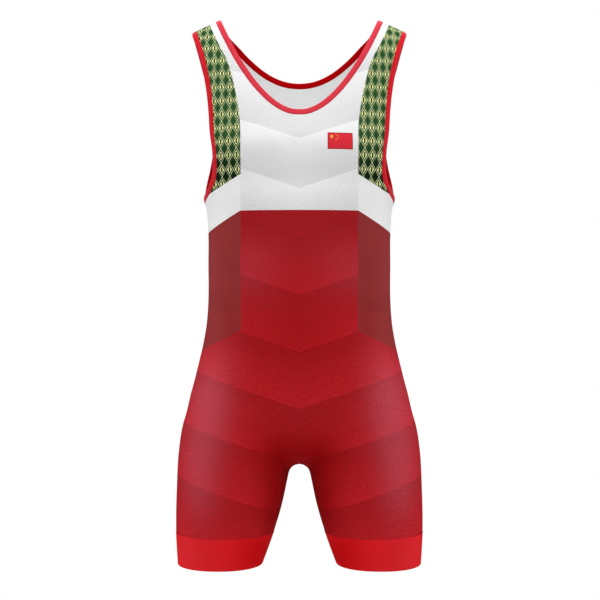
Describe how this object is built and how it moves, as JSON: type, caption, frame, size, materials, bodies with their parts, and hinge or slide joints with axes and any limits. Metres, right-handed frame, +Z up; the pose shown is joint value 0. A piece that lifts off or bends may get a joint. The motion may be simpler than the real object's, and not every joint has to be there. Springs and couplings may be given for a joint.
{
  "type": "wrestling singlet",
  "caption": "Sleeveless one-piece stretch wrestling singlet in its worn shape, with wide straps, deep armholes, scooped neck, panelled sides and mid-thigh legs with hem bands",
  "frame": {"origin": "midway between the shoulders, at the height where the straps rest on them", "axes": "+Z up; the front faces -Y; +X is the wearer's left"},
  "size_m": [0.3922, 0.2368, 0.8631],
  "materials": {
    "body_knit": "matt polyester-elastane knit, printed white yoke over red body with tonal chevrons",
    "side_knit": "matt polyester-elastane knit, printed green diamond repeat over a white band and dark red",
    "binding": "folded red stretch binding with a stitched edge",
    "leg_band": "smooth bright red double-layer stretch band"
  },
  "bodies": {
    "root": {"front_panel": "body_knit", "back_panel": "body_knit", "side_panel_left": "side_knit", "side_panel_right": "side_knit", "neck_binding": "binding", "armhole_binding_left": "binding", "armhole_binding_right": "binding", "leg_band_left": "leg_band", "leg_band_right": "leg_band"}
  },
  "joints": []
}
